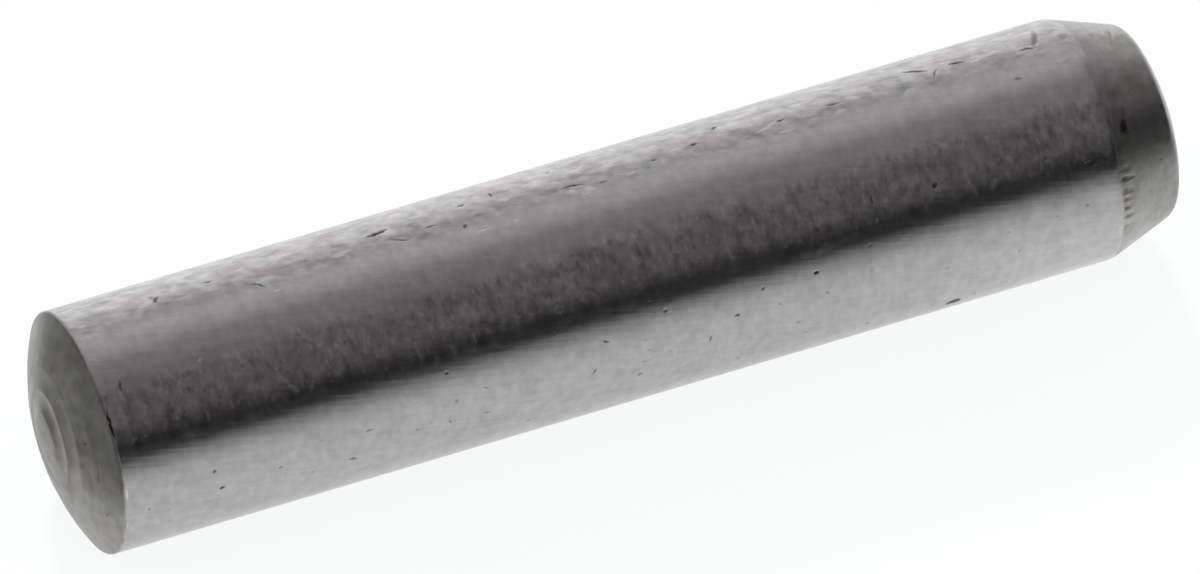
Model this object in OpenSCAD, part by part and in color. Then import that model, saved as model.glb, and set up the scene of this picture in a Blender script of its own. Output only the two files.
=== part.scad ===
// Parallel dowel pin, turned from one bar, hardened and ground.
// The axis is X, with the origin at the middle of the pin's length.
// A spherical crown closes the -X end, and a short tapered lead the +X end.

/* [Shank] */
// Diameter of the ground shank
shank_d = 5; // [4.4:0.1:7]
// Length over both ends
overall_l = 24; // [8:0.5:80]

/* [Crowned end] */
// Spherical radius of the crown
crown_r = 5; // [3:0.1:20]
// Radius of the edge between crown and shank
rim_r = 0.08; // [0.02:0.01:0.4]

/* [Turned rings] */
// Number of rings that the facing tool left in the crown
ring_count = 3; // [1:1:4]
// Radius of the innermost ring
ring_start_r = 0.62; // [0.3:0.02:1]
// Step from one ring to the next
ring_pitch = 0.45; // [0.2:0.01:0.6]
// Depth of a ring
ring_depth = 0.02; // [0.005:0.005:0.06]
// Nose radius of the facing tool
tool_nose_r = 0.12; // [0.08:0.01:0.3]

/* [Lead end] */
// Length of the taper, from the shank to the sharp corner of the lead face
lead_l = 1.4; // [0.6:0.1:3]
// Diameter of the lead face at its sharp corner
lead_face_d = 4; // [3:0.1:4.2]
// Spherical radius of the lead face
lead_crown_r = 5; // [2.6:0.1:20]
// Blend radius between shank and taper
shoulder_r = 0.8; // [0.2:0.1:4]
// Radius of the corner round the lead face
lead_corner_r = 0.25; // [0.05:0.05:0.6]

/* [Hidden] */
$fn = 160;

// Each blending arc is this much too large, so it crosses its neighbours
arc_slack = 0.0005;
// How far the cutting shapes stand clear of the stock
overcut = 1;

shank_r = shank_d / 2;
half_l = overall_l / 2;

// Crowned end: centres of the sphere and of the rim's arc, in [radius, height]
crown_c = [0, crown_r - half_l];
rim_c = [shank_r - rim_r, crown_c.y - leg(crown_r - rim_r, shank_r - rim_r)];

// Lead end: the taper's angle to the axis, and where it starts and ends
lead_face_r = lead_face_d / 2;
lead_angle = atan((shank_r - lead_face_r) / lead_l);
lead_c = [0, half_l - lead_crown_r];
lead_end_y = lead_c.y + leg(lead_crown_r, lead_face_r);
shoulder_y = lead_end_y - lead_l;
shoulder_c = [shank_r - shoulder_r, shoulder_y - shoulder_r * tan(lead_angle / 2)];

// The corner's arc touches the taper and the lead sphere from inside.
// taper_gap is how far the sphere's centre lies inside the taper's line
taper_gap = [sin(lead_angle), cos(lead_angle)] * [shoulder_y - lead_c.y, shank_r];
corner_out = taper_gap - lead_corner_r;
corner_along = leg(lead_crown_r - lead_corner_r, corner_out);
corner_c = lead_c + corner_out * [cos(lead_angle), sin(lead_angle)]
    + corner_along * [-sin(lead_angle), cos(lead_angle)];

// The other short side of a right triangle
function leg(long_side, short_side) = sqrt(long_side * long_side - short_side * short_side);

// Direction of v, in degrees from the radius
function heading(v) = atan2(v.y, v.x);

// What lies outside a blending arc about centre, between two headings
module outside_arc(centre, arc_r, from_angle, to_angle) {
    reach = 1.5 * arc_r / pow(cos((to_angle - from_angle) / 2), 2);
    translate(centre)
        difference() {
            polygon([
                [0, 0],
                reach * [cos(from_angle), sin(from_angle)],
                reach * [cos(to_angle), sin(to_angle)]
            ]);
            circle(arc_r + arc_slack);
        }
}

// What lies outside a sphere about centre, on the side of sign_y
module outside_sphere(centre, sphere_r, sign_y) {
    translate(centre)
        difference() {
            translate([-overcut, sign_y > 0 ? 0 : -sphere_r - overcut])
                square(sphere_r + 2 * overcut);
            circle(sphere_r);
        }
}

// Rings that the facing tool cut into the crown
module ring_cuts() {
    for (i = [0 : ring_count - 1]) {
        ring_r = ring_start_r + i * ring_pitch;
        tool_reach = crown_r + tool_nose_r - ring_depth;
        translate(crown_c + [ring_r, -leg(tool_reach, ring_r)])
            circle(tool_nose_r, $fn = 48);
    }
}

// Half section of the pin, from the axis outwards
module half_section() {
    difference() {
        polygon([
            [0, -half_l - overcut],
            [shank_r, -half_l - overcut],
            [shank_r, shoulder_y],
            [lead_face_r, lead_end_y],
            [lead_face_r - overcut * tan(lead_angle), lead_end_y + overcut],
            [0, lead_end_y + overcut]
        ]);
        outside_sphere(crown_c, crown_r, -1);
        outside_arc(rim_c, rim_r, heading(rim_c - crown_c), 0);
        ring_cuts();
        outside_sphere(lead_c, lead_crown_r, 1);
        outside_arc(shoulder_c, shoulder_r, 0, lead_angle);
        outside_arc(corner_c, lead_corner_r, lead_angle, heading(corner_c - lead_c));
    }
}

module pin() {
    color([0.62, 0.61, 0.6])
        rotate([0, 90, 0])
            rotate_extrude()
                half_section();
}

pin();
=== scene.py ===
import bpy
import bmesh
import math
import random
import re
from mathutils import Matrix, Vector, kdtree


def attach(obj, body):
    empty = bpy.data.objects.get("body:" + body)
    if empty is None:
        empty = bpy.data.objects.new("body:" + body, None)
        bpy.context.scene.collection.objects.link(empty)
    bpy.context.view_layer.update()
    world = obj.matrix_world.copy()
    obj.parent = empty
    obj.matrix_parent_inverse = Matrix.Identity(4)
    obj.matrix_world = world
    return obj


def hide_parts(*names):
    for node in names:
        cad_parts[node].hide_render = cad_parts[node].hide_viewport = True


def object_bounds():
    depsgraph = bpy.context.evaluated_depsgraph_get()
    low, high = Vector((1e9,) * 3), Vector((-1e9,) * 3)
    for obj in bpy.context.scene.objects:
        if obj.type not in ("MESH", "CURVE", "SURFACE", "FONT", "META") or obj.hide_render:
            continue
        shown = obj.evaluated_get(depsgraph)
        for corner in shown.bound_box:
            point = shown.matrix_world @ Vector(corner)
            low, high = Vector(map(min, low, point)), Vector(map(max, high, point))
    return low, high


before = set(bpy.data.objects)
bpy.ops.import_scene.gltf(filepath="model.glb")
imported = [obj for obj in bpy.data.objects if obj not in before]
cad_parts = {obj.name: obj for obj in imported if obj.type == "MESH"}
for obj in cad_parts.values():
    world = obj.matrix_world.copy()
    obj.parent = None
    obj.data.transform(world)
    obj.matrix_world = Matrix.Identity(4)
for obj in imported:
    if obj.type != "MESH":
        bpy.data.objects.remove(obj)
cadLow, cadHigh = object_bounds()
scene = bpy.context.scene
scene.view_settings.view_transform = "Standard"
mm = 0.001

# the pin's shape in millimetres and degrees; radius and length come from the frame
pinForm = {
    "shankRadius": cadHigh.z / mm, "halfLength": cadHigh.x / mm, "crownRadius": 5, "rimRadius": 0.08,
    "ringCentre": (0.07, 0.02),  # the turned rings sit a little off the ground axis
    "ringStart": 0.55,  # from the ring centre to the first ridge
    "ringPitch": 0.45, "ringCount": 3, "ringDepth": 0.031, "ringWaver": 0.16, "waverScale": 0.8,
    "ringFade": 0.48,  # each ring outward is rubbed down further
    "ridgeWidth": 0.035,
    "ridgeLight": 0.36,  # how bright the ridges are rubbed, where they are
    "ridgeBreakScale": 1.2, "ridgeBreaks": (0.47, 0.62),
    "leadLength": 1.4, "leadFaceRadius": 2, "leadCrownRadius": 5, "shoulderRadius": 0.8,
    "cornerRadius": 0.25,
    "leadStart": 10.18,  # where the ground shank ends and the turned lead begins
    "leadRise": 0.14,  # how much further the grinding reaches along the top
    "leadRiseEdges": (1.8, 2.45),
    "around": 120,  # faces round the pin
    "crownStep": 0.1, "ringStep": 0.028, "shankStep": 0.15, "taperStep": 0.04,
    "fineLeadEnd": 10.66,  # beyond this the taper is three times as coarse
    "leadFaceStep": 0.14,
}
taperSlope = math.atan2(pinForm["shankRadius"] - pinForm["leadFaceRadius"], pinForm["leadLength"])


def otherLeg(longSide, shortSide):
    return math.sqrt(longSide * longSide - shortSide * shortSide)


def arc(centre, radius, startAngle, endAngle, step):
    # points (along, out) on an arc, ends included, angles in degrees from +X
    count = max(3, math.ceil(abs(math.radians(endAngle - startAngle)) * radius / step))
    angles = [math.radians(startAngle + (endAngle - startAngle) * i / count) for i in range(count + 1)]
    return [(centre[0] + radius * math.cos(a), centre[1] + radius * math.sin(a)) for a in angles]


def line(start, end, step):
    # points between the two ends, ends left out
    count = max(1, math.ceil(math.dist(start, end) / step))
    return [(start[0] + (end[0] - start[0]) * i / count, start[1] + (end[1] - start[1]) * i / count)
        for i in range(1, count)]


def crownPoint(form, out):
    # a point of the crowned end at this distance from the axis
    centre = -form["halfLength"] + form["crownRadius"]
    return centre - otherLeg(form["crownRadius"], out), out


def crownStations(form, end):
    # distances from the axis, closer together across the rings
    fineEnd = form["ringStart"] + form["ringPitch"] * form["ringCount"] + 0.1
    fineCount = round(fineEnd / form["ringStep"])
    coarseCount = math.ceil((end - fineEnd) / form["crownStep"])
    distances = [fineEnd * i / fineCount for i in range(fineCount)]
    distances += [fineEnd + (end - fineEnd) * i / coarseCount for i in range(coarseCount + 1)]
    return [crownPoint(form, out) for out in distances]


def halfSection(form):
    # crown at -X, then rim, shank, shoulder, taper, corner and lead face
    radius, half = form["shankRadius"], form["halfLength"]
    crownC = (-half + form["crownRadius"], 0)
    rimR = form["rimRadius"]
    rimC = (crownC[0] - otherLeg(form["crownRadius"] - rimR, radius - rimR), radius - rimR)
    rimStart = math.degrees(math.atan2(rimC[1], rimC[0] - crownC[0]))

    leadC = (half - form["leadCrownRadius"], 0)
    leadEnd = leadC[0] + otherLeg(form["leadCrownRadius"], form["leadFaceRadius"])
    shoulderX = leadEnd - form["leadLength"]
    shoulderR = form["shoulderRadius"]
    shoulderC = (shoulderX - shoulderR * math.tan(taperSlope / 2), radius - shoulderR)

    cornerR = form["cornerRadius"]
    outward = math.sin(taperSlope) * (shoulderX - leadC[0]) + math.cos(taperSlope) * radius - cornerR
    along = otherLeg(form["leadCrownRadius"] - cornerR, outward)
    cornerC = (leadC[0] + outward * math.sin(taperSlope) + along * math.cos(taperSlope),
        outward * math.cos(taperSlope) - along * math.sin(taperSlope))
    cornerEnd = math.degrees(math.atan2(cornerC[1], cornerC[0] - leadC[0]))

    taperAngle = 90 - math.degrees(taperSlope)
    rim = arc(rimC, rimR, rimStart, 90, rimR / 4)
    crown = crownStations(form, rim[0][1])
    shoulder = arc(shoulderC, shoulderR, 90, taperAngle, shoulderR / 12)
    corner = arc(cornerC, cornerR, taperAngle, cornerEnd, cornerR / 6)
    face = arc(leadC, form["leadCrownRadius"], cornerEnd, 0, form["leadFaceStep"])
    taper = [place for i, place in enumerate(line(shoulder[-1], corner[0], form["taperStep"]))
        if place[0] < form["fineLeadEnd"] or i % 3 == 0]
    shank = line(rim[-1], shoulder[0], form["shankStep"])
    stations = crown[:-1] + rim + shank + shoulder + taper + corner + face[1:]
    return stations, rim[0][0], rim[-1][0], corner[0][0]


stations, crownEnd, rimEnd, taperEnd = halfSection(pinForm)
print("half section:", len(stations), "stations")


class Tree:
    # short calls for laying out a node tree
    def __init__(self, tree):
        self.tree = tree

    def node(self, kind, inputs=None, **named):
        # capitalised names are inputs, the others are settings
        made = self.tree.nodes.new(kind)
        inputs = dict(inputs or {})
        for key, value in named.items():
            if key[0].isupper():
                inputs[key] = value
            else:
                setattr(made, key, value)
        for key, value in inputs.items():
            if isinstance(value, bpy.types.NodeSocket):
                self.tree.links.new(value, made.inputs[key])
            else:
                made.inputs[key].default_value = value
        return made

    def output(self, kind, inputs=None, **named):
        return self.node(kind, inputs, **named).outputs[0]

    def shape(self, kind, inputs=None, **named):
        return self.output("GeometryNode" + kind, inputs, **named)

    def finished(self, **outputs):
        # the group's tree, once its outputs are joined up
        self.node("NodeGroupOutput", outputs)
        return self.tree

    def math(self, operation, *values, clamp=False):
        # more than two values are taken in turn, as in a + b + c
        while len(values) > 2:
            values = (self.math(operation, *values[:2]), *values[2:])
        return self.output("ShaderNodeMath", dict(enumerate(values)), operation=operation, use_clamp=clamp)

    def plus(self, *values):
        return self.math("ADD", *values)

    def minus(self, *values):
        return self.math("SUBTRACT", *values)

    def times(self, *values):
        return self.math("MULTIPLY", *values)

    def over(self, *values):
        return self.math("DIVIDE", *values)

    def vector(self, operation, *values):
        sockets = self.node("ShaderNodeVectorMath", dict(enumerate(values)), operation=operation).outputs
        return sockets["Value" if operation in ("LENGTH", "DISTANCE") else "Vector"]

    def scaled(self, vector, factor):
        return self.output("ShaderNodeVectorMath", Vector=vector, Scale=factor, operation="SCALE")

    def parts(self, vector):
        return self.node("ShaderNodeSeparateXYZ", Vector=vector).outputs

    def joined(self, x, y, z):
        return self.output("ShaderNodeCombineXYZ", X=x, Y=y, Z=z)

    def noise(self, place, scale, detail=2, **named):
        return self.output("ShaderNodeTexNoise", Vector=place, Scale=scale, Detail=detail, **named)

    def spread(self, value, fromLow, fromHigh, toLow=0, toHigh=1, kind="SMOOTHSTEP"):
        limits = {"From Min": fromLow, "From Max": fromHigh, "To Min": toLow, "To Max": toHigh}
        return self.output("ShaderNodeMapRange", limits, Value=value, interpolation_type=kind)

    def blend(self, factor, low, high, mode="MIX"):
        colours = {0: factor, 6: low, 7: high}
        return self.node("ShaderNodeMix", colours, data_type="RGBA", blend_type=mode).outputs[2]


def socketId(tree, name):
    return next(item.identifier for item in tree.interface.items_tree if item.name == name)


def nodeTree(name, kind, inputs, outputs):
    # a new group whose named inputs and outputs are listed by kind, as "First, Second"
    tree = bpy.data.node_groups.new(name, kind)
    for side, sockets in (("INPUT", inputs), ("OUTPUT", outputs)):
        for socketKind, labels in sockets.items():
            for label in labels.split(", "):
                tree.interface.new_socket(label, in_out=side, socket_type="NodeSocket" + socketKind)
    t = Tree(tree)
    return t, t.node("NodeGroupInput").outputs


def shapeTree(name, **inputs):
    # a geometry tree that gives one geometry
    return nodeTree(name, "GeometryNodeTree", inputs, {"Geometry": "Geometry"})


def treeInputs(piece, scale, *keys):
    # a tree's inputs from a piece's values: ringPitch goes to Ring Pitch
    return {re.sub("([A-Z])", r" \1", key).title(): piece[key] * scale for key in keys}


def linkedObject(name, data):
    made = bpy.data.objects.new(name, data)
    scene.collection.objects.link(made)
    return made


def runTree(name, tree, inputs, mesh=None):
    # evaluates the tree on a carrier object and returns the result as a plain mesh object
    carrier = linkedObject(name, mesh or bpy.data.meshes.new(name))
    modifier = carrier.modifiers.new(tree.name, "NODES")
    modifier.node_group = tree
    for key, value in inputs.items():
        modifier[socketId(tree, key)] = value
    graph = bpy.context.evaluated_depsgraph_get()
    result = bpy.data.meshes.new_from_object(carrier.evaluated_get(graph))
    carrier.modifiers.remove(modifier)
    carrier.data = result
    result.name = name
    return carrier


def polyCurve(name, points):
    # a curve of straight pieces through (x, y, z) points
    curve = bpy.data.curves.new(name, "CURVE")
    curve.dimensions = "3D"
    spline = curve.splines.new("POLY")
    spline.points.add(len(points) - 1)
    for target, point in zip(spline.points, points):
        target.co = (*point, 1)
    return linkedObject(name, curve)


def shapeOf(t, source):
    return t.node("GeometryNodeObjectInfo", Object=source).outputs["Geometry"]


def randomValue(t, low, high, seed):
    return t.node("FunctionNodeRandomValue", {2: low, 3: high, "Seed": seed}).outputs["Value"]


def stored(t, geometry, **values):
    # the geometry with each value kept at its points
    for label, value in values.items():
        geometry = t.shape("StoreNamedAttribute", Geometry=geometry, Name=label, Value=value)
    return geometry


def named(t, label):
    return t.shape("InputNamedAttribute", Name=label)


def turnAround(t, part):
    # the turn round X, from the near side up
    return t.math("ARCTAN2", part["Z"], t.times(part["Y"], -1))


def compared(t, operation, value, limit):
    return t.output("FunctionNodeCompare", {0: value, 1: limit}, operation=operation)


def turnedPinTree():
    # a lathe: the half section is swept round X and closed
    t, given = shapeTree("turnedPin", Object="Half Section", Int="Around")
    profile = shapeOf(t, given["Half Section"])
    count = t.shape("AttributeDomainSize", Geometry=profile, component="CURVE")
    columns = t.plus(given["Around"], 1)
    grid = t.shape("MeshGrid", {"Vertices X": columns, "Vertices Y": count})
    index = t.shape("InputIndex")
    column = t.math("FLOOR", t.over(t.plus(index, 0.5), count))
    station = t.parts(t.shape("SampleIndex", Geometry=profile, Value=t.shape("InputPosition"),
        Index=t.math("MODULO", index, count), data_type="FLOAT_VECTOR"))
    turn = t.times(t.over(column, given["Around"]), 2 * math.pi)
    swept = t.joined(station["X"], t.times(station["Y"], t.math("SINE", turn)),
        t.times(station["Y"], t.math("COSINE", turn), -1))
    turned = t.shape("SetPosition", Geometry=grid, Position=swept)
    closed = t.shape("MergeByDistance", Geometry=turned, Distance=1e-7)
    return t.finished(Geometry=t.shape("SetShadeSmooth", Geometry=closed))


section = polyCurve("halfSection", [(x * mm, r * mm, 0) for x, r in stations])
blank = runTree("turnedBlank", turnedPinTree(), {"Half Section": section, "Around": pinForm["around"]})
bpy.data.objects.remove(section)
print("turned blank:", len(blank.data.polygons), "faces")

# marks from turning, grinding and handling; sizes in millimetres, angles in degrees
wear = {
    "pitDensity": 1.55,  # random pits to a square millimetre
    "pitSeed": 5,
    "pitSmall": 0.02,  # half widths
    "pitLarge": 0.055,
    "pitDepth": 0.1,  # share of the half width
    "leastDirt": 0.05, "mostDirt": 0.5, "pitDirtSeed": 11,
    "pitSmallness": 2.2,  # the higher, the more of the pits are small
    "pitClumpScale": 0.9,
    "pitClumps": (0.42, 0.6, 0.3, 1.8),  # noise from and to, density from and to
    "pitSide": -20,  # turn of the side with the most pits
    "pitSideEdges": (0.2, 0.7),
    "pitCleanShare": 0.25,  # the share left on the opposite side
    "raggedness": 0.08,  # how far the outline of a mark wanders
    "raggedScale": 9, "bend": 0.12, "bendSeed": 7, "bendStep": 0.06, "chatterCount": 136,
    "chatterStart": 10.24,
    "chatterBand": (10, 10.66),  # made finer for the chatter strokes, on the side where they are heavy
    "chatterSpread": 30, "chatterLength": 0.2, "chatterLean": 7, "chatterWidth": 0.078,
    "chatterDepth": 0.008,
    "chatterLight": 0.5,  # how bright the thin strokes between the dark ones are
    "chatterSide": 10,  # turn of the side where they are heaviest
    "chatterHeavyEdges": (0.92, 0.98),
    "chatterLeast": 0.02,  # lighter strokes are left out
    "chatterFading": 0.75,  # how much of its dirt a stroke loses down the slope
    "chatterSeed": 3,
    "chatterUneven": 0.35,  # share of the step from one stroke to the next
    "chatterVaries": {  # from, to and seed
        "shift": (0, 0.9, 7), "width": (0.7, 1.2, 1), "depth": (0.5, 1, 2), "light": (0.3, 1, 8),
        "dirt": (0.45, 0.85, 4), "lean": (-0.2, 0.2, 5), "length": (0.4, 1.1, 6),
    },
    "strokeStep": 0.02,
    "leastRelief": 0.0015,  # shallower marks are only stains and need no finer faces
    "searchStep": 0.05,  # between the points of a stroke, when marks are searched for
    "nearMargin": 0.02, "nearCuts": 3, "closeMargin": 0.004, "closeLength": 0.06, "closeCuts": 1,
    "bandLength": 0.1, "bandCuts": 7,
}

# along, turn from the near side up, length, lean, half width and depth in thousandths, dirt (below 0: bright,
# burnished dings painted with the glint of their slopes)
nicks = [
    (-10.85, 61, 0.3, 85, 30, 10, 0.8), (-9.4, 102.5, 0.16, 60, 65, 12, 0.8),
    (-8.25, 105, 0.22, 0, 30, 8, 0.7), (-7.4, 92, 0.3, -40, 35, 10, 0.8), (-7.1, 86, 0.1, 0, 40, 6, -0.9),
    (-9.15, 63, 0.08, 80, 30, 6, -0.8), (-9.4, 10, 0.03, 0, 40, 12, 0.8), (-9.25, -1, 0.05, 20, 55, 18, 1),
    (-10.8, -1, 0.04, 60, 35, 10, 0.6), (-8, 1, 0.05, 0, 40, 10, 0.6), (-6.45, -8, 0.14, -20, 50, 14, 0.8),
    (-6.1, 7, 0.25, 10, 30, 8, 0.6), (-4.65, 104, 0.45, 8, 60, 20, 1), (-4.3, 95, 0.4, -25, 40, 12, 0.8),
    (-3.6, 97, 0.32, 0, 50, 10, 0.6), (-3, 91, 0.06, 40, 50, 14, 0.9), (-2.8, 107, 0.08, 0, 50, 12, 0.8),
    (-2.15, 109, 0.2, 85, 35, 12, 0.9), (-2.7, 86, 0.32, 5, 40, 6, -0.9), (-2, 86, 0.1, 0, 40, 6, -0.9),
    (-0.4, 90, 0.22, -10, 40, 6, -0.9), (-0.6, 96, 0.48, -8, 40, 14, 0.9), (0, 94, 0.3, 0, 35, 10, 0.7),
    (1.2, 98, 0.08, 0, 40, 12, 0.8), (2.1, 101, 0.1, 0, 50, 14, 0.9), (2.7, 110, 0.12, 30, 50, 12, 0.8),
    (3.95, 100, 0.14, 10, 50, 12, 0.8), (5.1, 101, 0.35, -5, 40, 10, 0.7), (3.55, 21, 0.06, 0, 45, 14, 1),
    (1.2, 2, 0.2, 75, 35, 10, 0.8), (5, 46, 0.4, 78, 25, 10, 0.9), (5, 37, 0.12, 80, 30, 6, -0.9),
    (7, 108, 0.55, -28, 40, 14, 0.9), (7.35, 101, 0.3, 60, 35, 12, 0.8), (7.85, 104, 0.32, -15, 45, 14, 0.9),
    (9.29, 99, 0.34, -9, 50, 12, 0.75), (9.55, 106.4, 0.72, 69, 85, 12, 0.55),
    (6.6, -28.6, 0.14, 10, 140, 20, 1.2), (6.35, 44, 0.05, 60, 50, 14, 0.9), (9.55, 35, 0.22, 8, 22, 4, -0.5),
    # the stroke at -11.28 and turn 45.5, at the crown's rim, is painted shade: a dark line beside the rim's
    # rolled edge, in a shallow real dent
    (10.49, 46, 0.17, 73, 150, 3, 1.1), (-11.28, 45.5, 0.64, 90, 33, 6, 1.6),
    # the three bright strokes at -11.28 are painted highlight on the crown's rim edge
    (-11.28, 11, 0.3, 90, 35, 3, -1), (-11.28, -8, 0.1, 90, 30, 3, -0.8), (-11.28, 55, 0.12, 90, 25, 3, -0.6),
    (10.56, 52, 0.12, 73, 80, 2, 0.45), (-7.3, -8, 0.12, 60, 30, 8, 0.5), (-1, 18, 0.12, -30, 30, 10, 0.7),
    (-1.3, 3, 0.16, 50, 35, 10, 0.8), (-0.1, 6, 0.12, -10, 30, 8, 0.5), (-0.2, 1, 0.3, -5, 25, 6, 0.4),
    (-0.3, -8, 0.08, 20, 40, 10, 0.6), (-4.4, -2, 0.16, -60, 30, 8, 0.6), (-4.8, 1, 0.16, 85, 25, 8, 0.5),
    (-5.1, -1, 0.12, -55, 30, 8, 0.5), (-3.6, -3, 0.08, 0, 40, 8, 0.5), (-3.6, 12, 0.1, -30, 30, 8, 0.5),
    (1.8, 11, 0.08, 0, 40, 10, 0.8), (2.4, 21, 0.06, 60, 30, 8, 0.5), (3.75, 8.5, 0.1, -60, 30, 8, 0.5),
    (3.3, -13, 0.1, 0, 40, 8, 0.4), (10.7, 101, 0.2, -62, 30, 4, 0.5), (11.02, 107, 0.5, 83, 35, 2, -0.5),
    (11.22, 107, 0.9, 77, 40, 2, -0.4), (11.12, 104, 0.55, 80, 30, 3, 0.4),
    (8.78, 82.5, 0.1, -20, 50, 6, 0.4), (9.8, 87, 0.4, 10, 30, 2, -0.45), (10.12, 87, 0.25, -63, 30, 2, -0.3),
    (11.1, 4.6, 0.15, 90, 25, 3, 0.35), (10.115, -5, 0.3, 90, 35, 1, -0.35), (10.5, 61, 0.4, 60, 170, 1, 0.3),
    (10.68, 35, 0.2, 60, 170, 1, 0.3),
]
# the same for the crowned end, placed by its distance from the axis
crownNicks = [
    (1.75, 38, 0.14, 20, 40, 8, 0.5), (1.95, 18, 0.45, 82, 35, 5, 0.3), (1.3, 75, 0.16, 30, 30, 5, 0.3),
    (2.1, -8, 0.2, 75, 30, 6, 0.4),
]


def sectionRadius(along):
    # the half section's distance from the axis, between rim and lead corner
    for (x0, r0), (x1, r1) in zip(stations, stations[1:]):
        if x0 <= along <= x1 and x0 >= crownEnd - 1e-6:
            return r0 + (r1 - r0) * (along - x0) / max(x1 - x0, 1e-9)
    return pinForm["shankRadius"]


def atTurn(along, radius, turn):
    angle = math.radians(turn)
    return Vector((along, -radius * math.cos(angle), radius * math.sin(angle)))


def shankPlace(along, turn):
    return atTurn(along, sectionRadius(along), turn)


def crownPlace(out, turn):
    return atTurn(*crownPoint(pinForm, out), turn)


def settle(place):
    # puts a new point back on the turned surface
    out = math.hypot(place.y, place.z)
    if place.x > crownEnd:
        along, radius = place.x, sectionRadius(place.x)
    else:
        along, radius = crownPoint(pinForm, min(out, pinForm["shankRadius"]))
    return Vector((along, place.y / out * radius, place.z / out * radius)) if out > 1e-6 else place


def nickEnds():
    # the two ends of each nick's stroke on the surface
    placed = [(shankPlace, pinForm["shankRadius"], nick) for nick in nicks]
    placed += [(crownPlace, nick[0], nick) for nick in crownNicks]
    for surface, radius, (away, turn, length, lean, halfWidth, depth, dirt) in placed:
        step = length / 2 * math.cos(math.radians(lean))
        swing = math.degrees(length / 2 * math.sin(math.radians(lean)) / radius)
        rest = halfWidth / 1000, depth / 1000, dirt
        yield surface(away - step, turn - swing), surface(away + step, turn + swing), rest


def nickStrokes():
    # a mesh of short bent strokes that carries each nick's half width, depth and dirt; the dirt also holds
    # the painted shade and painted glints listed with the nicks
    points, edges, values = [], [], []
    chance = random.Random(wear["bendSeed"])
    for start, end, (halfWidth, depth, dirt) in nickEnds():
        count = max(3, math.ceil((end - start).length / wear["bendStep"]))
        bend = (end - start).cross(Vector((0, start.y, start.z)).normalized()) * wear["bend"]
        bend *= chance.uniform(-1, 1)
        first = len(points)
        taper = min(0.6, 0.12 * (end - start).length / halfWidth)  # a long stroke thins toward its ends
        for i in range(count):
            share = 2 * i / (count - 1) - 1
            point = start.lerp(end, i / (count - 1)) + bend * (1 - share ** 2)
            points.append(settle(point) * mm)
            thin = 1 - share ** 2 * taper
            values.append((halfWidth * thin * mm, depth * thin * mm, dirt * thin))
        edges += [(first + i, first + i + 1) for i in range(count - 1)]
    mesh = bpy.data.meshes.new("nickStrokes")
    mesh.from_pydata(points, edges, [])
    for place, label in enumerate(("halfWidth", "depth", "dirt")):
        mesh.attributes.new(label, "FLOAT", "POINT").data.foreach_set("value", [v[place] for v in values])
    return mesh


def pitsTree():
    # random pits as loose points with the same three attributes
    t, given = shapeTree("scatteredPits", Geometry="Geometry", Int="Seed",
        Float="Density, Crown End, Pit Small, Pit Large, Pit Depth, Least Dirt, Most Dirt, "
        "Pitted Side, Pit Clean Share")
    place = t.shape("InputPosition")
    part = t.parts(place)
    side = t.math("COSINE", t.minus(turnAround(t, part), given["Pitted Side"]))
    side = t.spread(side, *wear["pitSideEdges"], given["Pit Clean Share"])
    clump = t.spread(t.noise(place, wear["pitClumpScale"] / mm, 1), *wear["pitClumps"])
    onShank = compared(t, "GREATER_THAN", part["X"], given["Crown End"])
    points = t.shape("DistributePointsOnFaces", Mesh=given["Geometry"], Selection=onShank,
        Density=t.times(side, clump, given["Density"]), Seed=given["Seed"])
    small = t.math("POWER", randomValue(t, 0, 1, given["Seed"]), wear["pitSmallness"])
    width = t.plus(given["Pit Small"], t.times(small, t.minus(given["Pit Large"], given["Pit Small"])))
    dirt = randomValue(t, given["Least Dirt"], given["Most Dirt"], wear["pitDirtSeed"])
    points = stored(t, points, halfWidth=width, depth=t.times(width, given["Pit Depth"]), dirt=dirt)
    return t.finished(Geometry=t.shape("PointsToVertices", Points=points))


strokes = linkedObject("nickStrokes", nickStrokes())
pits = runTree("pits", pitsTree(), {
    **treeInputs(wear, mm, "pitSmall", "pitLarge"),
    **treeInputs(wear, 1.0, "pitDepth", "pitCleanShare", "leastDirt", "mostDirt"),
    "Density": wear["pitDensity"] / mm ** 2, "Crown End": (rimEnd + 0.1) * mm, "Seed": wear["pitSeed"],
    "Pitted Side": math.radians(wear["pitSide"])}, blank.data.copy())
print("nicks:", len(nicks) + len(crownNicks), "pits:", len(pits.data.vertices))


def markFinder():
    # every stroke and pit as points to search, with their half widths
    spots = []
    for start, end, rest in nickEnds():
        if rest[1] < wear["leastRelief"]:
            continue
        count = max(1, math.ceil((end - start).length / wear["searchStep"]))
        spots += [(start.lerp(end, i / count), rest[0]) for i in range(count + 1)]
    widths = pits.data.attributes["halfWidth"].data
    spots += [(vertex.co / mm, item.value / mm) for vertex, item in zip(pits.data.vertices, widths)]
    finder = kdtree.KDTree(len(spots))
    for i, (place, _) in enumerate(spots):
        finder.insert(place, i)
    finder.balance()
    return finder, [halfWidth for _, halfWidth in spots]


def refine(bm, chosen, cuts, aroundOnly=False):
    before = set(bm.verts)
    edges = dict.fromkeys(edge for face in chosen for edge in face.edges)
    if aroundOnly:
        edges = [edge for edge in edges if abs(edge.verts[0].co.x - edge.verts[1].co.x) < 1e-6]
    bmesh.ops.subdivide_edges(bm, edges=list(edges), cuts=cuts, use_grid_fill=True)
    for vertex in bm.verts:
        if vertex not in before:
            vertex.co = settle(vertex.co / mm) * mm


def longest(face):
    return max(edge.calc_length() for edge in face.edges) / mm


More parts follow.
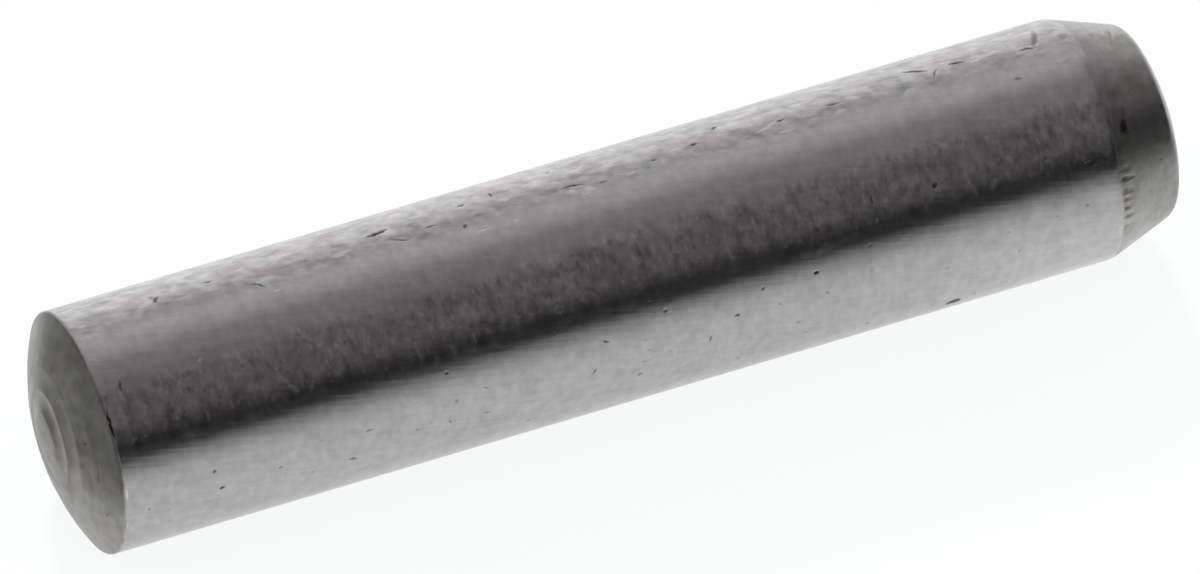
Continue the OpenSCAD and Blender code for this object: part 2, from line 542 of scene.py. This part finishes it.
def refineForMarks(mesh):
    # finer faces only where strokes, pits and chatter need them
    finder, halfWidths = markFinder()
    bandLow, bandHigh = wear["chatterBand"]
    bm = bmesh.new()
    bm.from_mesh(mesh)

    def near(face, margin):
        middle = face.calc_center_median() / mm
        reach = margin + longest(face) * 0.6
        found = finder.find_n(middle, 3) if middle.x <= taperEnd else []
        return any(distance < halfWidths[i] * 1.25 + reach for _, i, distance in found)

    def inBand(face):
        middle = face.calc_center_median() / mm
        turn = math.degrees(math.atan2(middle.z, -middle.y)) - wear["chatterSide"]
        return bandLow < middle.x < bandHigh and abs(turn) < wear["chatterSpread"]

    refine(bm, [face for face in bm.faces if near(face, wear["nearMargin"])], wear["nearCuts"])
    close = [face for face in bm.faces if near(face, wear["closeMargin"])
        and len(face.verts) == 4 and longest(face) < wear["closeLength"]]
    refine(bm, close, wear["closeCuts"])
    band = [face for face in bm.faces if inBand(face) and longest(face) > wear["bandLength"]]
    refine(bm, band, wear["bandCuts"], aroundOnly=True)
    bm.to_mesh(mesh)
    bm.free()


refineForMarks(blank.data)
print("refined:", len(blank.data.polygons), "faces")


def chatterMarks(t, given):
    # strokes round the pin, a little uneven: dark ones down the slope, a thin light one between each two
    varied = {key: randomValue(t, *limits) for key, limits in wear["chatterVaries"].items()}
    uneven = randomValue(t, -wear["chatterUneven"], wear["chatterUneven"], given["Seed"])
    row = t.shape("Points", Count=given["Chatter Count"])
    index = t.shape("InputIndex")
    light = t.math("MODULO", index, 2)
    dark = t.minus(1, light)
    turn = t.times(t.over(t.plus(index, uneven), given["Chatter Count"]), 2 * math.pi)
    shift = t.times(given["Chatter Length"], varied["shift"], light)
    radius = t.minus(given["Chatter Radius"], t.times(shift, t.math("TANGENT", given["Chatter Slope"])))
    spot = t.joined(t.plus(given["Chatter Start"], shift), t.times(radius, -1, t.math("COSINE", turn)),
        t.times(t.math("SINE", turn), radius))
    row = t.shape("SetPosition", Geometry=row, Position=spot)
    heavy = t.spread(t.math("COSINE", t.minus(turn, given["Heavy Side"])), *wear["chatterHeavyEdges"])
    width = t.times(given["Chatter Width"], varied["width"], t.minus(1, t.times(light, 0.7)))
    depth = t.times(given["Chatter Depth"], varied["depth"], heavy, dark)
    brightness = t.times(given["Chatter Light"], varied["light"], light)
    dirt = t.times(heavy, t.minus(t.times(dark, varied["dirt"]), brightness))
    row = stored(t, row, halfWidth=width, depth=depth, dirt=dirt)
    stroke = t.shape("MeshLine", Count=2, Offset=(1, 0, 0))
    # first down the slope, then leaned, then turned round X
    lean = t.times(t.plus(given["Chatter Lean"], varied["lean"]), -1)
    slope = t.output("FunctionNodeEulerToRotation", Euler=t.joined(0, given["Chatter Slope"], lean))
    spin = t.output("FunctionNodeAxisAngleToRotation", Axis=(1, 0, 0), Angle=t.minus(math.pi / 2, turn))
    rotation = t.output("FunctionNodeRotateRotation", {"Rotation": slope, "Rotate By": spin},
        rotation_space="GLOBAL")
    length = t.times(given["Chatter Length"], varied["length"])
    heavyEnough = t.math("GREATER_THAN", heavy, wear["chatterLeast"])
    chatter = t.shape("InstanceOnPoints", Points=row, Selection=heavyEnough,
        Instance=stored(t, stroke, reach=index), Rotation=rotation, Scale=t.joined(length, 1, 1))
    chatter = t.shape("RealizeInstances", Geometry=chatter)
    fading = t.minus(1, t.times(named(t, "reach"), wear["chatterFading"]))
    return stored(t, chatter, dirt=t.times(named(t, "dirt"), fading))


def nearestMark(t, given, marks, place):
    # how deep the nearest mark presses here, and how dark it makes the colour: dirt, and the painted shade
    # line at the rim; below 0, rubbed brightness with painted glints
    noise = t.node("ShaderNodeTexNoise", Vector=place, Scale=wear["raggedScale"] / mm)
    aside = t.vector("SUBTRACT", noise.outputs["Color"], (0.5, 0.5, 0.5))
    aside = t.scaled(aside, given["Raggedness"])
    wandering = t.vector("ADD", place, aside)
    nearest = t.shape("SampleNearest", {"Geometry": marks, "Sample Position": wandering})

    def ofNearest(value, kind="FLOAT"):
        return t.shape("SampleIndex", Geometry=marks, Value=value, Index=nearest, data_type=kind)

    away = t.vector("DISTANCE", wandering, ofNearest(place, "FLOAT_VECTOR"))
    share = t.over(away, t.math("MAXIMUM", ofNearest(named(t, "halfWidth")), 1e-6))
    cup = t.math("SUBTRACT", 1, t.times(share, share), clamp=True)
    cup = t.times(t.minus(3, t.times(cup, 2)), cup, cup)
    return t.times(cup, ofNearest(named(t, "depth"))), t.times(cup, ofNearest(named(t, "dirt")))


def turnedRings(t, given, place):
    # shallow scallops between the crown's turned ridges, round their own centre
    part = t.parts(place)
    onCrown = t.math("LESS_THAN", part["X"], 0)
    waver = t.times(t.minus(t.noise(place, pinForm["waverScale"] / mm, 3), 0.5), given["Ring Waver"])
    out = t.plus(t.vector("DISTANCE", t.joined(0, part["Y"], part["Z"]), given["Ring Centre"]), waver)
    step = t.over(t.minus(out, given["Ring Start"]), given["Ring Pitch"])

    def faded(number):
        return t.math("POWER", given["Ring Fade"], t.math("MAXIMUM", number, 0))

    number = t.math("FLOOR", step)
    across = t.minus(t.times(t.math("FRACT", step), 2), 1)
    cut = t.times(given["Ring Depth"], faded(number), t.minus(1, t.times(across, across)),
        t.math("GREATER_THAN", step, 0), t.math("LESS_THAN", number, given["Ring Count"]), onCrown)
    # the ridges themselves are rubbed bright, less from one to the next
    order = t.math("ROUND", step)
    ridge = t.spread(t.math("PINGPONG", step, 0.5), t.over(given["Ridge Width"], given["Ring Pitch"]), 0)
    broken = t.spread(t.noise(place, pinForm["ridgeBreakScale"] / mm, 1), *pinForm["ridgeBreaks"])
    rubbed = t.times(ridge, broken, given["Ridge Light"], faded(order),
        t.math("GREATER_THAN", order, -0.5), t.math("LESS_THAN", order, given["Ring Count"]), onCrown)
    return cut, rubbed


def withFinishes(t, given, pin, place):
    # ground shank, turned crown and turned lead
    part = t.parts(place)
    low, high = pinForm["leadRiseEdges"]
    rise = t.times(t.spread(part["Z"], low * mm, high * mm), given["Lead Rise"])
    onCrown = compared(t, "LESS_THAN", part["X"], given["Crown End"])
    onLead = compared(t, "GREATER_THAN", part["X"], t.plus(given["Lead Start"], rise))
    for label, zone in ("Shank", True), ("Crown", onCrown), ("Lead", onLead):
        pin = t.shape("SetMaterial", Geometry=pin, Selection=zone, Material=given[label])
    return pin


def markedPinTree():
    # presses strokes, pits and chatter into the surface and gives each zone its material
    t, given = shapeTree("markedPin", Geometry="Geometry", Object="Strokes, Pits",
        Int="Chatter Count, Seed", Vector="Ring Centre", Material="Shank, Crown, Lead",
        Float="Stroke Step, Raggedness, Chatter Start, Chatter Radius, Chatter Slope, Chatter Length, "
        "Chatter Lean, Chatter Width, Chatter Depth, Chatter Light, Heavy Side, Ring Start, Ring Pitch, "
        "Ring Count, Ring Depth, Ring Fade, Ring Waver, Ridge Width, Ridge Light, Crown End, "
        "Lead Start, Lead Rise")

    def asPoints(mesh):
        curve = t.shape("MeshToCurve", Mesh=mesh)
        return t.shape("CurveToPoints", Curve=curve, Length=given["Stroke Step"], mode="LENGTH")

    pits = t.shape("MeshToPoints", Mesh=shapeOf(t, given["Pits"]))
    marks = t.node("GeometryNodeJoinGeometry")
    for part in asPoints(shapeOf(t, given["Strokes"])), asPoints(chatterMarks(t, given)), pits:
        t.tree.links.new(part, marks.inputs[0])
    place = t.shape("InputPosition")
    dent, dirt = nearestMark(t, given, marks.outputs[0], place)
    cut, rubbed = turnedRings(t, given, place)
    inward = t.scaled(t.shape("InputNormal"), t.times(dent, -1))
    pin = stored(t, given["Geometry"], mark=t.minus(dirt, rubbed))
    pin = t.shape("SetPosition", Geometry=pin, Offset=t.vector("ADD", inward, t.joined(cut, 0, 0)))
    pin = t.shape("RealizeInstances", Geometry=pin)
    return t.finished(Geometry=withFinishes(t, given, pin, place))


# shader groups that the three finishes share; lengths in millimetres
def shaderGroup(name, inputs, outputs, kind="Float"):
    t, given = nodeTree(name, "ShaderNodeTree", {"Vector": "Place", "Float": inputs}, {kind: outputs})
    return t, given, given["Place"]


def stretched(t, given):
    part = t.parts(given["Place"])
    return t.joined(t.times(part["X"], given["Round Stretch"]), part["Y"], part["Z"])


def grainGroup():
    # mottled grain, longer round the pin than along it
    t, given, _ = shaderGroup("grain", "Size, Round Stretch, Relief", "Height, Mottle")
    place = stretched(t, given)
    scale = t.over(1, given["Size"])
    soft = t.noise(place, scale, 1.5)
    coarse = t.noise(t.vector("ADD", place, (3.1, 8.2, 5.7)), t.times(scale, 0.4), 1)
    mottle = t.plus(t.times(soft, 0.6), t.times(coarse, 0.4))
    return t.finished(Height=t.times(given["Relief"], mottle), Mottle=mottle)


def fleckGroup():
    # short soft flecks, the light ones and the dark ones apart
    t, given, _ = shaderGroup("flecks", "Size, Round Stretch, Share, Softness", "Light, Dark")
    noise = t.noise(stretched(t, given), t.over(1, given["Size"]), 1, Distortion=0.2)
    edge = t.minus(0.3, t.times(given["Share"], 0.25))
    full = t.plus(edge, given["Softness"])
    away = t.minus(noise, 0.5)
    return t.finished(Light=t.spread(away, edge, full), Dark=t.spread(t.times(away, -1), edge, full))


def sideGroup():
    # a soft-edged side of the pin: 1 about one turn, 0 away from it
    t, given, place = shaderGroup("side", "Turn, Half Width, Softness, Waver", "Mask")
    part = t.parts(place)
    away = t.math("ARCCOSINE", t.math("COSINE", t.minus(turnAround(t, part), given["Turn"])))
    waver = t.times(t.minus(t.noise(place, 0.6, 3.5), 0.5), given["Waver"])
    mask = t.spread(t.plus(away, waver), t.plus(given["Half Width"], given["Softness"]),
            t.minus(given["Half Width"], given["Softness"]))
    return t.finished(Mask=mask)


def streakGroup():
    # fine streaks that wind round the pin
    t, given, place = shaderGroup("streaks", "Twist, Width, Length, Relief", "Height, Streak")
    twist = t.times(t.parts(place)["X"], given["Twist"])
    part = t.parts(t.output("ShaderNodeVectorRotate", Vector=place, Angle=twist, rotation_type="X_AXIS"))
    streak = t.noise(t.joined(t.over(part["X"], given["Length"]), t.over(part["Y"], given["Width"]),
            t.over(part["Z"], given["Width"])), 1, 2.5)
    return t.finished(Height=t.times(streak, given["Relief"]), Streak=streak)


def turningGroup():
    # fine tool lines across the cut
    t, given, place = shaderGroup("turningLines", "Across, Pitch, Relief", "Height, Line")
    across = t.plus(given["Across"], t.times(t.noise(place, 1.2, 1), 0.06))
    row = t.output("ShaderNodeTexNoise", W=t.over(across, given["Pitch"]), Scale=1, noise_dimensions="1D")
    return t.finished(Height=t.times(row, given["Relief"]), Line=row)


def stainGroup():
    # soft warm and cool patches as a tint to multiply with
    t, given, place = shaderGroup("stain", "Patch, Amount", "Tint", "Color")
    scale = t.over(1, given["Patch"])
    warm = t.noise(place, scale)
    cool = t.noise(t.vector("ADD", place, (7.3, 1.9, 4.1)), t.times(scale, 1.3))
    tint = t.blend(t.times(t.spread(warm, 0.5, 0.72), given["Amount"]), (1, 1, 1, 1), (1, 0.87, 0.88, 1))
    tint = t.blend(t.times(t.spread(cool, 0.52, 0.74), given["Amount"]), tint, (0.9, 0.96, 0.88, 1))
    return t.finished(Tint=tint)


def edgeWearAndHighlightGroup():
    # a broken bright band at an edge: rubbed by handling, with a painted edge highlight
    t, given, place = shaderGroup("edgeWearAndHighlight", "Edge, Width, Break Up", "Mask")
    away = t.math("ABSOLUTE", t.minus(t.parts(place)["X"], given["Edge"]))
    broken = t.spread(t.noise(place, 4), t.minus(given["Break Up"], 0.2), t.plus(given["Break Up"], 0.2))
    return t.finished(Mask=t.times(t.spread(away, given["Width"], 0), broken))


groups = {"grain": grainGroup(), "flecks": fleckGroup(), "streaks": streakGroup(),
    "side": sideGroup(), "turning": turningGroup(), "stain": stainGroup(), "edgeWearAndHighlight": edgeWearAndHighlightGroup()}

shankFinish = {
    "colour": (0.515, 0.515, 0.515, 1), "roughness": 0.165,
    # turn and half width of the sides that stayed mottled, and of those that were scuffed
    "mottledSides": ((47, 14.5), (-95, 24)), "scuffedSides": ((113, 20.5),),
    "mottledEdge": (3.5, 17),  # softness and waver
    "scuffedEdge": (3, 25), "evenMottle": 0.195, "mottledShare": 0.92, "scuffedShare": 1.03,
    "scuffedLift": 0.05, "scuffedRough": 0.06,
    "grain": {"Size": 0.25, "Round Stretch": 1.4, "Relief": 0.008},
    "mottledFlecks": {"Size": 0.23, "Round Stretch": 1.65, "Share": 0.84, "Softness": 0.11},
    "scuffedFlecks": {"Size": 0.235, "Round Stretch": 0.42, "Share": 0.76, "Softness": 0.1},
    "mottledLight": 0.36,  # how strong the light and the dark flecks are
    "mottledDark": 0.26, "scuffedLight": 0.55, "scuffedDark": 0.2, "fleckRough": 0.15,
    "streaks": {"Twist": -0.095, "Width": 0.09, "Length": 1.1, "Relief": 0.0018},
    "scuffs": {"Twist": -0.08, "Width": 0.24, "Length": 0.32, "Relief": 0.0032}, "stainPatch": 0.7,
}
crownFinish = {
    "colour": (0.359, 0.351, 0.339, 1), "roughness": 0.37,
    "grain": {"Size": 0.3, "Round Stretch": 1, "Relief": 0.009}, "mottle": 0.3,
    "lines": {"Pitch": 0.12, "Relief": 0.0012}, "lineShare": 0.1,
    "smears": {"Twist": 0, "Width": 0.5, "Length": 1, "Relief": 0.001}, "smearShare": 0.3,
    "stain": {"Patch": 0.9, "Amount": 0.6}, "rimWearAndHighlight": {"Width": 0.07, "Break Up": 0.5},
    # the crown's bright rim band: rubbed wear with a painted edge highlight
    "rimLight": 0.45,
}
leadFinish = {
    "colour": (0.45, 0.45, 0.44, 1), "roughness": 0.3,
    "grain": {"Size": 0.2, "Round Stretch": 1, "Relief": 0.006}, "mottle": 0.2,
    "lines": {"Pitch": 0.1, "Relief": 0.001}, "lineShare": 0.2,
    "smears": {"Twist": 0.4, "Width": 0.16, "Length": 0.9, "Relief": 0.001}, "smearShare": 0.3,
    "stain": {"Patch": 0.6, "Amount": 0.7}, "rimWearAndHighlight": {"Width": 0.07, "Break Up": 0.5},
    "rimLight": 0,
}
# dark marks: dirt in pits, nicks and chatter, and the painted shade line at the crown's rim
dirtAndShadeColour = (0.05, 0.045, 0.04, 1)
# bright marks and flecks: rubbed wear, with painted glints on the bright nicks and a painted edge highlight
# at the crown's rim
rubbedAndGlintColour = (0.85, 0.85, 0.84, 1)


def clearTree(owner):
    # the empty node tree of a material or world
    owner.use_nodes = True
    owner.node_tree.nodes.clear()
    return Tree(owner.node_tree)


def placeInMillimetres(t):
    return t.scaled(t.node("ShaderNodeTexCoord").outputs["Object"], 1 / mm)


def newMaterial(name):
    material = bpy.data.materials.new(name)
    t = clearTree(material)
    mark = t.node("ShaderNodeAttribute", attribute_name="mark").outputs["Fac"]
    return material, t, placeInMillimetres(t), mark


def finishMaterial(t, colour, roughness, height, mark):
    # the dirt in deep marks and a painted shade line at the crown's rim, the rubbed bright ones with their
    # painted glints, and the metal itself
    dirt = t.math("MULTIPLY", mark, 1, clamp=True)
    rubbed = t.math("MULTIPLY", mark, -1, clamp=True)
    colour = t.blend(rubbed, t.blend(dirt, colour, dirtAndShadeColour), rubbedAndGlintColour)
    roughness = t.plus(roughness, t.times(t.plus(dirt, rubbed), 0.2))
    bump = t.output("ShaderNodeBump", Distance=mm, Height=height)
    metal = t.output("ShaderNodeBsdfPrincipled", {
        "Base Color": colour, "Metallic": 1, "Roughness": roughness, "Normal": bump})
    t.node("ShaderNodeOutputMaterial", Surface=metal)


def shared(t, group, place, **inputs):
    # the outputs of one shared group, fed with these inputs
    return t.node("ShaderNodeGroup", node_tree=groups[group], Place=place, **inputs).outputs


def sides(t, place, places, softness, waver):
    # the strongest of several sides of the pin
    edge = {"Softness": math.radians(softness), "Waver": math.radians(waver)}
    mask = 0
    for turn, halfWidth in places:
        one = {"Turn": math.radians(turn), "Half Width": math.radians(halfWidth)}
        mask = t.math("MAXIMUM", shared(t, "side", place, **one, **edge)["Mask"], mask)
    return mask


def groundSteel(finish):
    # the shank: ground bright, with mottled and scuffed sides and fine slanting streaks
    material, t, place, mark = newMaterial("groundSteel")
    mottled = sides(t, place, finish["mottledSides"], *finish["mottledEdge"])
    scuffed = sides(t, place, finish["scuffedSides"], *finish["scuffedEdge"])
    grain = shared(t, "grain", place, **finish["grain"])
    streaks = shared(t, "streaks", place, **finish["streaks"])
    scuffs = shared(t, "streaks", t.vector("ADD", place, (40, 0, 0)), **finish["scuffs"])
    stainAmount = t.times(t.plus(t.math("MAXIMUM", mottled, scuffed), 0.2), 0.6)
    stain = shared(t, "stain", place, Patch=finish["stainPatch"], Amount=stainAmount)["Tint"]
    light, dark = 0, 0
    for side, name, shift in (mottled, "mottled", 0), (scuffed, "scuffed", 20):
        flecks = shared(t, "flecks", t.vector("ADD", place, (shift, 0, 0)), **finish[name + "Flecks"])
        light = t.math("MAXIMUM", light, t.times(flecks["Light"], side, finish[name + "Light"]))
        dark = t.math("MAXIMUM", dark, t.times(flecks["Dark"], side, finish[name + "Dark"]))
    uneven = t.times(scuffed, finish["scuffedLift"])
    for side, pattern, share in ((mottled, grain["Mottle"], finish["mottledShare"]),
            (scuffed, scuffs["Streak"], finish["scuffedShare"])):
        uneven = t.plus(uneven, t.times(side, t.times(t.minus(pattern, 0.5), share)))
    even = t.plus(t.times(grain["Mottle"], 0.75), t.times(streaks["Streak"], 0.25))
    even = t.times(t.minus(even, 0.5), finish["evenMottle"] * 4)
    shade = t.times(t.plus(1, even, uneven), t.minus(1, dark))
    colour = t.blend(1, finish["colour"], t.scaled(stain, shade), "MULTIPLY")
    colour = t.blend(light, colour, rubbedAndGlintColour)
    roughness = t.plus(finish["roughness"], t.times(grain["Mottle"], 0.04),
        t.times(light, finish["fleckRough"]), t.times(scuffed, finish["scuffedRough"]))
    height = t.plus(t.times(mottled, grain["Height"]), t.times(scuffed, scuffs["Height"]), streaks["Height"])
    finishMaterial(t, colour, roughness, height, mark)
    return material


def turnedSteel(name, finish, across):
    # the two ends: left as turned, duller than the shank
    material, t, place, mark = newMaterial(name)
    part = t.parts(place)
    out = t.vector("LENGTH", t.joined(0, part["Y"], part["Z"])) if across == "radius" else part["X"]
    lines = shared(t, "turning", place, Across=out, **finish["lines"])
    grain = shared(t, "grain", place, **finish["grain"])
    stain = shared(t, "stain", place, **finish["stain"])["Tint"]
    # a bright band at the crown's rim: rubbed wear with a painted edge highlight
    rim = shared(t, "edgeWearAndHighlight", place, Edge=rimEnd, **finish["rimWearAndHighlight"])["Mask"]
    smears = shared(t, "streaks", place, **finish["smears"])["Streak"]
    uneven = t.minus(grain["Mottle"], 0.5)
    for pattern, share in (lines["Line"], finish["lineShare"]), (smears, finish["smearShare"]):
        uneven = t.plus(uneven, t.times(t.minus(pattern, 0.5), share))
    shade = t.plus(1, t.times(uneven, finish["mottle"] * 4))
    colour = t.blend(1, finish["colour"], t.scaled(stain, shade), "MULTIPLY")
    colour = t.blend(t.times(rim, finish["rimLight"]), colour, rubbedAndGlintColour)
    roughness = t.plus(finish["roughness"] - 0.03, t.times(grain["Mottle"], 0.06))
    finishMaterial(t, colour, roughness, t.plus(lines["Height"], grain["Height"]), mark)
    return material


pin = runTree("dowelPin", markedPinTree(), {
    **treeInputs(wear, mm, "strokeStep", "raggedness", "chatterStart", "chatterLength", "chatterWidth",
        "chatterDepth"),
    **treeInputs(pinForm, mm, "ringStart", "ringPitch", "ringDepth", "ringWaver", "ridgeWidth",
        "leadStart", "leadRise"),
    **treeInputs(pinForm, 1.0, "ringCount", "ringFade", "ridgeLight"),
    "Strokes": strokes, "Pits": pits, "Heavy Side": math.radians(wear["chatterSide"]),
    "Chatter Count": wear["chatterCount"], "Chatter Radius": sectionRadius(wear["chatterStart"]) * mm,
    "Chatter Slope": taperSlope, "Chatter Lean": math.radians(wear["chatterLean"]),
    "Chatter Light": wear["chatterLight"], "Seed": wear["chatterSeed"],
    "Ring Centre": [v * mm for v in (0, *pinForm["ringCentre"])], "Crown End": rimEnd * mm,
    "Shank": groundSteel(shankFinish), "Crown": turnedSteel("turnedCrown", crownFinish, "radius"),
    "Lead": turnedSteel("turnedLead", leadFinish, "length")}, blank.data)
for helper in (blank, strokes, pits):
    bpy.data.objects.remove(helper)
triangles = sum(len(face.vertices) - 2 for face in pin.data.polygons)
print("pin:", len(pin.data.vertices), "points,", triangles, "triangles")

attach(pin, "root")
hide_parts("pin")

# floor and room; distances in millimetres, angles in degrees round the pin's axis from the near horizon up
studio = {
    "floorSize": 4000, "floorTone": 0.967, "floorTint": (0.973, 1, 0.991, 1),
    "mirroredTint": (1, 1, 0.995, 1), "mattColour": (0.94, 0.94, 0.94, 1),
    "shadowShare": 0.055,  # the part of the floor that takes light and shadow
    "backLamp": (40, 11.5, 8, 5.8),  # elevation, turn from +Y toward the lead, width, strength
    "backLampColour": (1, 0.8, 0.88),
    "paintedPoolTone": 0.485,  # painted light: a pool on the floor, brighter close to the pin, that only the metal's reflections see
    "farTone": 0.3, "poolReach": 22, "poolFall": 1.6,
    "poolEdge": 4,  # nearer than this it stays the same
    "backTone": 0.98,  # painted light: the floor behind the pin, brighter in the reflections, mirrored by its top edge
    # painted shadow in the mirrored floor: darker under and beyond the crown end, in front of the pin and
    # behind it
    "backEdges": (1, 5), "paintedShadeLeft": (-17.5, -12.2, 0.25), "paintedShadeBackLeft": (-14.9, -12.5, 0.3),
    # painted shadow in the mirrored floor: darker under and beyond the raised lead end
    "paintedShadeRight": (10.2, 12.6, 1, 0.68), "paintedShadeFarRight": (13, 22, 1, 0.62),
    "rightSlant": 0.35,  # the painted shadows on the right lean away from the pin by this much to a millimetre
    # painted light: a brighter patch of the mirrored floor toward the lead end, close to the pin
    "leadLight": (5, 11, 0, 0.16),
    "leadLightSides": (9, 3.5),  # off and full, sideways
    # the painted shadow on the right lies only on the near side
    "nearSide": (-4, 4, 1, 0),
    "glow": (0, 10.5, 0.35, 0),  # faint light just above the near horizon
    "endShift": 32,  # the room is darker toward the lead end, as if turned by this much
    "endFade": (0.35, 0.78),
    "crownFade": (0.1, 0.7),  # darker toward the crown end, low in the room
    "crownFadeTop": (0.15, 0.5, 0.95, 0.4),
    "tones": [(-40, 0.007), (22, 0.007), (32, 0.052), (42, 0.112), (65, 0.133), (76, 0.172), (88, 0.245),
        (102, 0.285), (112, 0.44), (127, 0.58), (145, 0.46), (153, 0.57), (160, 0.75), (168, 0.86),
        (180, 0.9)],
    "lowTint": (1.11, 1, 1.03),  # warm low in the room, near to neutral overhead
    "highTint": (1.045, 1, 1.025),
}


def paleFloor():
    # the camera sees an even pale floor that takes the lamp's real shadow; glossy rays see painted light and
    # shade instead: a pool of light near the pin, a bright floor behind it and painted shadow under its two
    # ends
    material = bpy.data.materials.new("paleFloor")
    t = clearTree(material)
    part = t.parts(placeInMillimetres(t))
    near = t.math("ABSOLUTE", part["Y"])
    away = t.over(t.math("MAXIMUM", near, studio["poolEdge"]), studio["poolReach"])
    away = t.math("POWER", away, studio["poolFall"])
    pool = t.plus(studio["farTone"], t.over(studio["paintedPoolTone"], t.plus(away, 1)))
    lead = t.times(t.spread(part["X"], *studio["leadLight"]), t.spread(near, *studio["leadLightSides"]))
    slanted = t.minus(part["X"], t.times(near, studio["rightSlant"]))
    # painted shadow under the lead end, on the near side only
    right = 1
    for fade in studio["paintedShadeRight"], studio["paintedShadeFarRight"]:
        right = t.times(right, t.spread(slanted, *fade))
    nearSide = t.spread(part["Y"], *studio["nearSide"])
    right = t.minus(1, t.times(nearSide, t.minus(1, right)))
    pool = t.times(pool, t.plus(lead, 1))
    # painted shadow under the crown end, over the painted pool of light
    front = t.times(t.times(t.spread(part["X"], *studio["paintedShadeLeft"]), right), pool)
    # behind the pin: the bright painted floor, with painted shadow behind the crown end
    behind = t.spread(part["Y"], *studio["backEdges"])
    back = t.times(t.spread(part["X"], *studio["paintedShadeBackLeft"]), studio["backTone"], behind)
    mirrored = t.plus(t.times(front, t.minus(1, behind)), back)
    glossy = t.node("ShaderNodeLightPath").outputs["Is Glossy Ray"]
    notGlossy = t.minus(1, glossy)
    seen = t.plus(t.times(notGlossy, studio["floorTone"]), t.times(glossy, mirrored))
    colour = t.blend(glossy, studio["floorTint"], studio["mirroredTint"])
    glow = t.output("ShaderNodeEmission", Color=colour, Strength=seen)
    matt = t.output("ShaderNodeBsdfDiffuse", Color=studio["mattColour"])
    share = t.times(notGlossy, studio["shadowShare"])
    both = t.output("ShaderNodeMixShader", {0: share, 1: glow, 2: matt})
    t.node("ShaderNodeOutputMaterial", Surface=both)
    return material


def layFloor():
    side = studio["floorSize"] * mm / 2
    mesh = bpy.data.meshes.new("floor")
    corners = (-side, -side), (side, -side), (side, side), (-side, side)
    mesh.from_pydata([(x, y, cadLow.z) for x, y in corners], [], [(0, 1, 2, 3)])
    mesh.materials.append(paleFloor())
    floor = linkedObject("floor", mesh)


def lightRoom():
    world = bpy.data.worlds.new("studio")
    scene.world = world
    t = clearTree(world)
    ray = t.parts(t.node("ShaderNodeTexCoord").outputs["Generated"])
    angle = t.math("DEGREES", turnAround(t, ray))
    towardLead = t.spread(ray["X"], *studio["endFade"])
    low, high = studio["tones"][0][0], studio["tones"][-1][0]
    shifted = t.minus(angle, t.times(towardLead, studio["endShift"]))
    ramp = t.node("ShaderNodeValToRGB", Fac=t.spread(shifted, low, high, kind="LINEAR"))
    stops = ramp.color_ramp.elements
    while len(stops) < len(studio["tones"]):
        stops.new(0.5)
    for stop, (turn, tone) in zip(stops, studio["tones"]):
        stop.position = (turn - low) / (high - low)
        share = min(max((turn - 60) / 40, 0), 1)
        tints = zip(studio["lowTint"], studio["highTint"])
        stop.color = (*(tone * (a + (b - a) * share) for a, b in tints), 1)
    glow = t.times(t.spread(angle, *studio["glow"], kind="LINEAR"), t.minus(1, towardLead))
    towardCrown = t.times(t.spread(t.times(ray["X"], -1), *studio["crownFade"]),
            t.spread(ray["Z"], *studio["crownFadeTop"]))
    grey = t.output("ShaderNodeCombineColor", Red=glow, Green=glow, Blue=glow)
    colour = t.blend(1, ramp.outputs["Color"], grey, "ADD")
    room = t.output("ShaderNodeBackground", Color=colour, Strength=t.minus(1, towardCrown))
    plain = t.output("ShaderNodeBackground", Color=(1, 1, 1, 1))
    glossy = t.node("ShaderNodeLightPath").outputs["Is Glossy Ray"]
    both = t.output("ShaderNodeMixShader", {0: glossy, 1: plain, 2: room})
    t.node("ShaderNodeOutputWorld", Surface=both)


def hangLamp():
    # a soft lamp behind the pin, for the faint shadow in front of it
    elevation, turn, width, strength = studio["backLamp"]
    lamp = bpy.data.lights.new("backLamp", "SUN")
    lamp.energy = strength
    lamp.angle = math.radians(width)
    lamp.color = studio["backLampColour"]
    holder = linkedObject("backLamp", lamp)
    holder.rotation_euler = (math.radians(elevation - 90), 0, math.radians(-turn))
    holder.visible_glossy = False


layFloor()
lightRoom()
hangLamp()
print("studio ready")

# camera; millimetres and degrees
view = {
    "aim": (-0.148, -0.077, -0.133), "azimuth": -22.942, "elevation": 44.074, "distance": 516.6,
    "lens": 780,
}


def setCamera():
    camera = linkedObject("camera", bpy.data.cameras.new("camera"))
    scene.camera = camera
    turn, rise = math.radians(view["azimuth"]), math.radians(view["elevation"])
    back = Vector((math.sin(turn) * math.cos(rise), -math.cos(turn) * math.cos(rise), math.sin(rise)))
    camera.location = (Vector(view["aim"]) + back * view["distance"]) * mm
    camera.rotation_euler = (math.pi / 2 - rise, 0, turn)
    camera.data.lens = view["lens"]
    camera.data.sensor_width = 36
    camera.data.clip_start = 0.01
    camera.data.clip_end = 10


setCamera()
